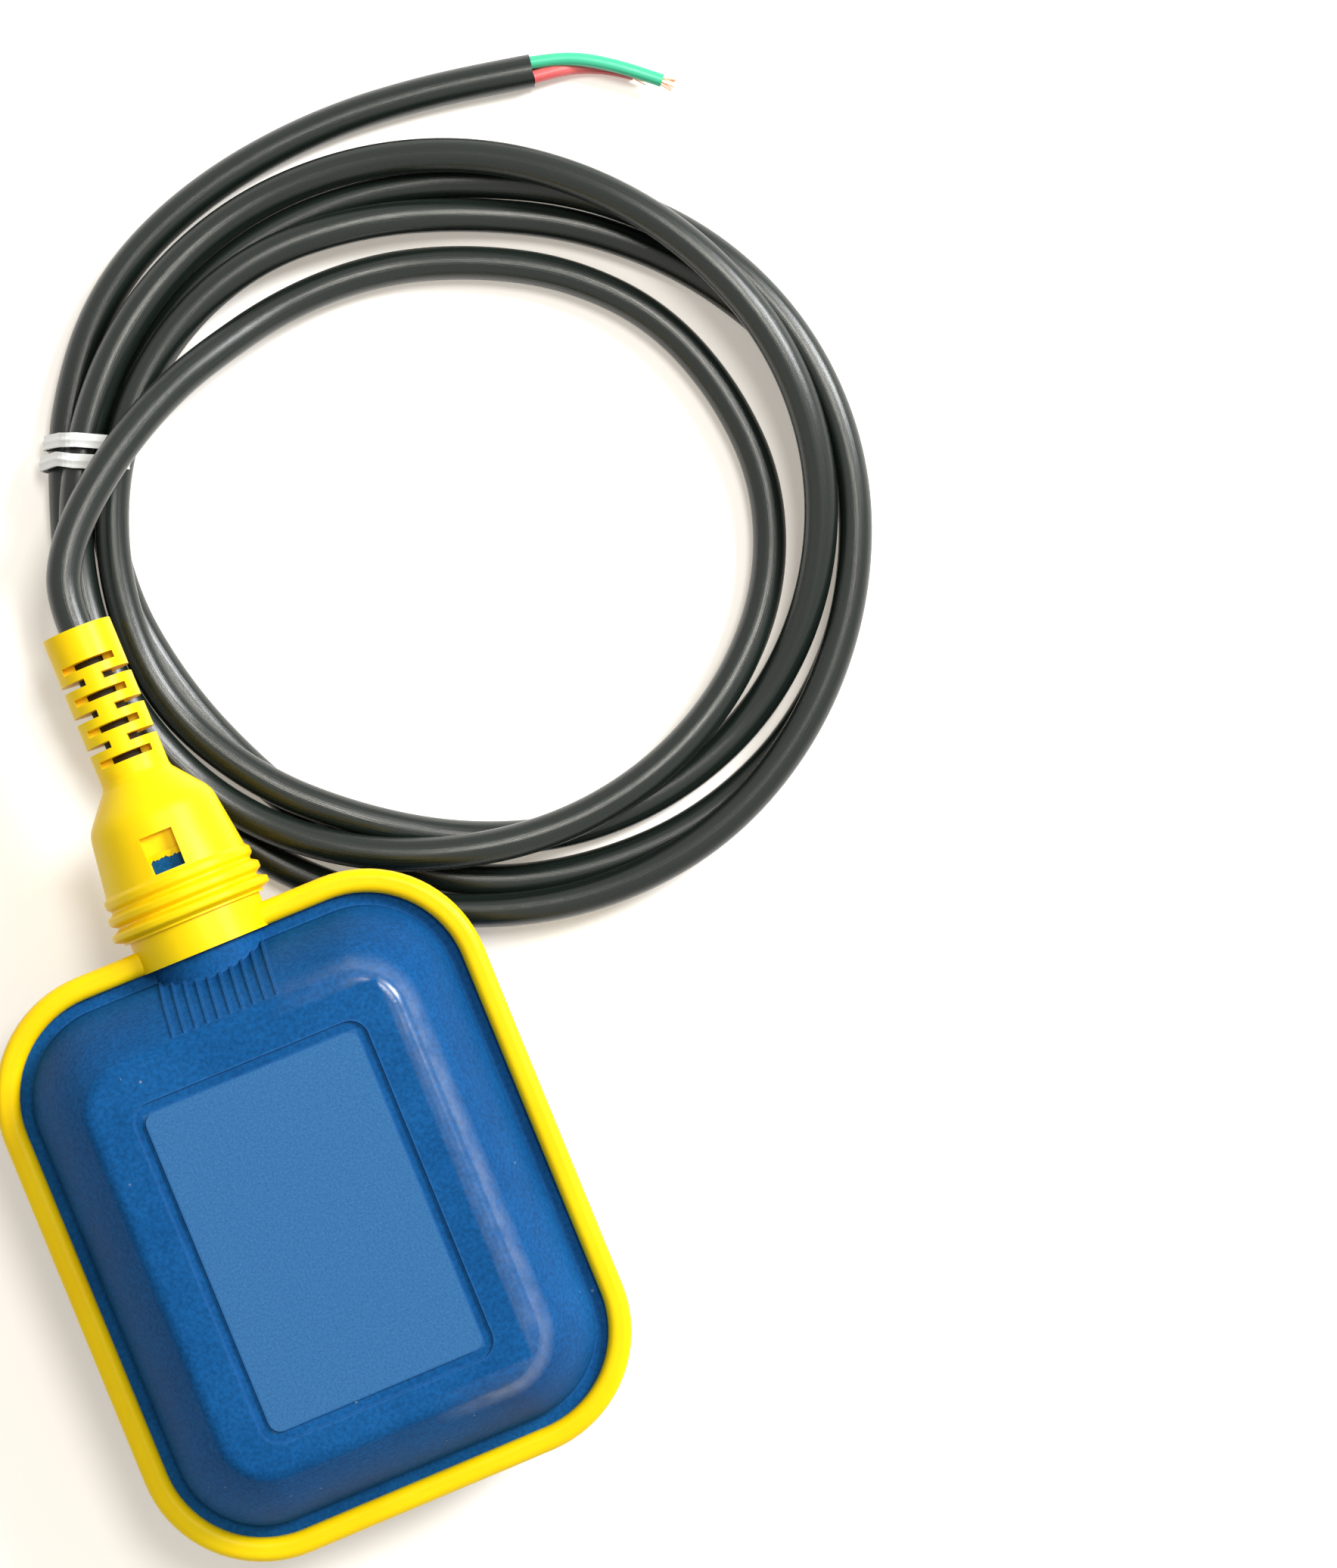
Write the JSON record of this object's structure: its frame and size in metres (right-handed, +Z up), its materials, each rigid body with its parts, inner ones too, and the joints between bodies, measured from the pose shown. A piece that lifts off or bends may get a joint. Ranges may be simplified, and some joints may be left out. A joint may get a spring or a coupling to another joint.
{
  "type": "cable float switch",
  "caption": "Cable float switch: flat rounded float of twin shells in a soft rim with a slotted cable boot, ball and microswitch inside, cable laid in a loose tied coil.",
  "frame": {"origin": "centre of the lower shell's flat resting face", "axes": "+Z up from the resting face, +Y along the cable boot, +X to the right seen from above with the boot pointing away"},
  "size_m": [0.1712, 0.2138, 0.0415],
  "materials": {
    "blue_shell": "satin moulded",
    "yellow_rubber": "satin moulded",
    "carrier_plastic": "satin",
    "zinc_steel": "zinc plated",
    "spring_steel": "bright rolled",
    "bearing_steel": "polished",
    "potting_resin": "cast",
    "black_sheath": "satin extruded",
    "white_tie": "satin",
    "switch_case": "moulded",
    "switch_lid": "moulded",
    "plunger_plastic": "moulded",
    "tinned_brass": "tinned",
    "sleeve_vinyl": "soft",
    "green_core": "extruded",
    "red_core": "extruded",
    "black_core": "extruded",
    "bare_copper": "bare drawn"
  },
  "bodies": {
    "float": {"upper_shell": "blue_shell", "lower_shell": "blue_shell", "sealing_overmould": "yellow_rubber", "switch_carrier": "carrier_plastic", "carrier_cover": "carrier_plastic", "carrier_screws": "zinc_steel", "neck_resin": "potting_resin", "cable_in_gland": "black_sheath", "cable_coil": "black_sheath", "twist_tie": "white_tie", "microswitch_case": "switch_case", "microswitch_cover": "switch_lid", "lever_pivot_pin": "zinc_steel", "terminal_common": "tinned_brass", "terminal_open": "tinned_brass", "terminal_closed": "tinned_brass", "sleeve_common": "sleeve_vinyl", "sleeve_open": "sleeve_vinyl", "sleeve_closed": "sleeve_vinyl", "inner_core_green": "green_core", "inner_core_red": "red_core", "inner_core_black": "black_core", "cable_lead": "black_sheath", "cable_tail": "black_sheath", "core_green": "green_core", "core_red": "red_core", "core_black": "black_core", "strands_green": "bare_copper", "strands_red": "bare_copper", "strands_black": "bare_copper"},
    "ball": {"steel_ball": "bearing_steel"},
    "lever": {"actuator_lever": "spring_steel"},
    "plunger": {"microswitch_plunger": "plunger_plastic"}
  },
  "joints": [
    {"name": "ball_roll", "type": "slide", "parent": "float", "child": "ball", "axis": [0, 1, 0], "range_m": [0, 0.0047]},
    {"name": "lever_swing", "type": "hinge", "parent": "float", "child": "lever", "pos_m": [-0.018, 0.0003, 0.02075], "axis": [0, 0, 1], "range_deg": [0, 14]},
    {"name": "plunger_travel", "type": "slide", "parent": "float", "child": "plunger", "axis": [0, 1, 0], "range_m": [0, 0.0017]}
  ],
  "couplings": [
    {"joint": "lever_swing", "follows": "ball_roll", "rad_per_m": 51.98},
    {"joint": "plunger_travel", "follows": "ball_roll", "ratio": 0.3596}
  ]
}
